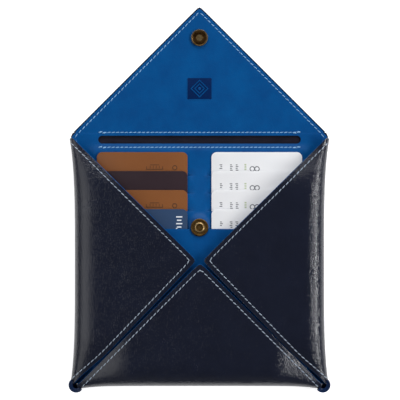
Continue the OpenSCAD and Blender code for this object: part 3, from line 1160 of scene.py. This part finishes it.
class WALLET_OT_stitching(bpy.types.Operator):
    """All the visible rows of stitches"""

    bl_idname = "wallet.stitching"
    bl_label = "Stitching"

    def execute(self, context):
        s, mats = sizes(), palette()
        up, pitch, sheet = Vector((0, 0, 1)), s["stitch_pitch"], s["sheet"]
        for side in SIDES:
            _, middle, top = weld_ends(side, s)
            turn = (f"{side}_spine", f"{side}_flap", middle, top)
            for label, depth, colour, cad in (("stitches", 0.0, "thread", [f"{side}_flap_thread"]),
                                              ("inner_stitches", sheet, "sky", [])):
                row = stitches(f"{side}_flap_{label}", flap_spots(side, s, depth), s)
                attach(row, mats[colour], "pale_thread", turn, *cad)
        tip_y = TOP_EDGE - (s["stitch_inset"] - 0.5) * DIAGONAL
        for label, z, normal, colour, cad in (("stitches", sheet, up, "sky", ["top_flap_thread"]),
                                              ("outer_stitches", 0.0, -up, "thread", [])):
            spots, low_spots = [], []
            tip = Vector((0, tip_y, z))
            for sign in (-1, 1):
                end = Vector((sign * (tip_y - TOP_MID + 0.4), TOP_MID - 0.4, z))
                start = tip + (end - tip).normalized() * 0.6
                spots += straight_spots(start, end, normal, pitch)
                corner = Vector((sign * 74.6, 74.9, z))
                low_spots += straight_spots(end, corner, normal, pitch)
                low_spots.append((corner + Vector((-sign * 0.7, -1.2, 0)), normal, Vector((sign, 1.6, 0))))
            row = stitches(f"top_flap_{label}", spots, s, 0.55)
            attach(row, mats[colour], "sky_thread", TOP_UPPER, *cad)
            foot_row = stitches(f"top_corner_{label}", low_spots, s, 0.55)
            attach(foot_row, mats[colour], "sky_thread", TOP_LOWER)
        for name, y, cad in (("slit_upper_stitches", SLIT_Y1 + 1.9, "slit_upper_thread"),
                             ("slit_lower_stitches", SLIT_Y0 - 2.2, "slit_lower_thread")):
            lift = sheet + (level_z(0) - sheet) * (1 - ease(66.5, 72.5, y))
            a, b = Vector((-SLIT_HALF, y, lift)), Vector((SLIT_HALF, y, lift))
            spots = straight_spots(a, b, up, 0.86 * pitch)
            tack = [(a + Vector((1.4 + 2.2 * i, 0.35 * (1 - 2 * i), 0.12)), up, Vector((1, 0.1, 0)))
                    for i in range(2)]
            tack += [(Vector((-p.x, p.y, p.z)), up, Vector((-1, 0.1, 0))) for p, _, _ in tack]
            row = stitches(name, spots + tack, s, 0.55, 0.8)
            attach(row, mats["sky"], "sky_thread", TOP_LOWER, cad)
        return {"FINISHED"}


# ---- Hidden pieces ----

INNER_FINISH = {"_board": "board", "tongue": "satin", "washer": "steel"}


class WALLET_OT_inner_parts(bpy.types.Operator):
    """Finishes of the pieces inside: boards, pocket cloth, washers"""

    bl_idname = "wallet.inner_parts"
    bl_label = "Inner parts"

    def execute(self, context):
        mats = palette()
        for name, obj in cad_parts.items():
            if obj.hide_render:
                continue
            finish = next(finish for word, finish in INNER_FINISH.items() if word in name)
            paint(obj, mats[finish])
        return {"FINISHED"}


# ---- Stage ----


def area_light(name, place, target, size, power):
    """A soft elliptical lamp: its first size lies level, its second along its tilt."""
    deselect()
    bpy.ops.object.light_add(type="AREA", location=place)
    light = bpy.context.object
    light.name = name
    light.data.shape = "ELLIPSE"
    light.data.size, light.data.size_y = size
    light.data.energy = power
    light.rotation_euler = (Vector(target) - Vector(place)).to_track_quat("-Z", "Y").to_euler()


class WALLET_OT_stage(bpy.types.Operator):
    """Pale floor, softboxes and the camera straight above"""

    bl_idname = "wallet.stage"
    bl_label = "Stage"

    def execute(self, context):
        scene = context.scene
        deselect()
        bpy.ops.mesh.primitive_plane_add(size=6, location=(0, 0, -0.0004))
        floor = bpy.context.object
        floor.name = "floor"
        material, tree, shader, place = new_material("white_paper_sweep", Roughness=0.9)
        fibre = node(tree, "ShaderNodeTexNoise", Vector=place, Scale=300.0)
        tint(tree, shader, fibre.outputs["Fac"], linear("#ffffff"), linear("#fcfcfc"))
        shader.inputs["Emission Color"].default_value = (1, 1, 1, 1)
        shader.inputs["Emission Strength"].default_value = 0.7
        paint(floor, material)
        area_light("left_softbox", (-0.92, 0.05, 1.0), (-0.06, 0.03, 0), (2.2, 0.98), 6.6)
        area_light("right_softbox", (1.15, 0.05, 0.97), (0.06, 0.03, 0), (2.2, 0.13), 16.0)
        area_light("far_fill", (0.1, 1.2, 0.7), (0, 0, 0), (1.8, 0.6), 12.5)
        area_light("near_fill", (-0.1, -1.2, 0.7), (0, 0, 0), (1.8, 0.6), 0.4)
        world = bpy.data.worlds.new("Studio")
        scene.world = world
        world.use_nodes = True
        world.node_tree.nodes["Background"].inputs["Color"].default_value = (1, 1, 1, 1)
        world.node_tree.nodes["Background"].inputs["Strength"].default_value = 0.06
        scene.view_settings.view_transform = "Standard"
        height, width_mm, middle = 1.2, 237.4, (0.3, 38.0)
        bpy.ops.object.camera_add(location=(middle[0] * MM, middle[1] * MM, height), rotation=(0, 0, 0))
        camera = bpy.context.object
        camera.name = "camera_above"
        camera.data.sensor_width = 36
        camera.data.lens = 36 * (height / MM - 8) / width_mm
        camera.data.clip_end = 20
        scene.camera = camera
        return {"FINISHED"}


class WALLET_PT_panel(bpy.types.Panel):
    """Wallet parts and sizes"""

    bl_label = "Envelope wallet"
    bl_idname = "WALLET_PT_panel"
    bl_space_type = "VIEW_3D"
    bl_region_type = "UI"
    bl_category = "Wallet"

    def draw(self, context):
        for group in (context.scene.wallet_sizes, context.scene.wallet_colours):
            for key in group.__annotations__:
                self.layout.prop(group, key)
        for operator in STEPS:
            self.layout.operator(operator.bl_idname)


STEPS = (WALLET_OT_sides, WALLET_OT_back, WALLET_OT_top_flap, WALLET_OT_card_panel,
         WALLET_OT_corners, WALLET_OT_note_pocket, WALLET_OT_cards, WALLET_OT_snap, WALLET_OT_mark,
         WALLET_OT_stitching, WALLET_OT_inner_parts, WALLET_OT_stage)
CLASSES = (WalletSizes, WalletColours, *STEPS, WALLET_PT_panel)


def register():
    for cls in CLASSES:
        bpy.utils.register_class(cls)
    bpy.types.Scene.wallet_sizes = bpy.props.PointerProperty(type=WalletSizes)
    bpy.types.Scene.wallet_colours = bpy.props.PointerProperty(type=WalletColours)


def unregister():
    del bpy.types.Scene.wallet_colours
    del bpy.types.Scene.wallet_sizes
    for cls in reversed(CLASSES):
        bpy.utils.unregister_class(cls)


def main():
    register()
    for step in STEPS:
        group, name = step.bl_idname.split(".")
        getattr(getattr(bpy.ops, group), name)()


if __name__ == "__main__":
    main()
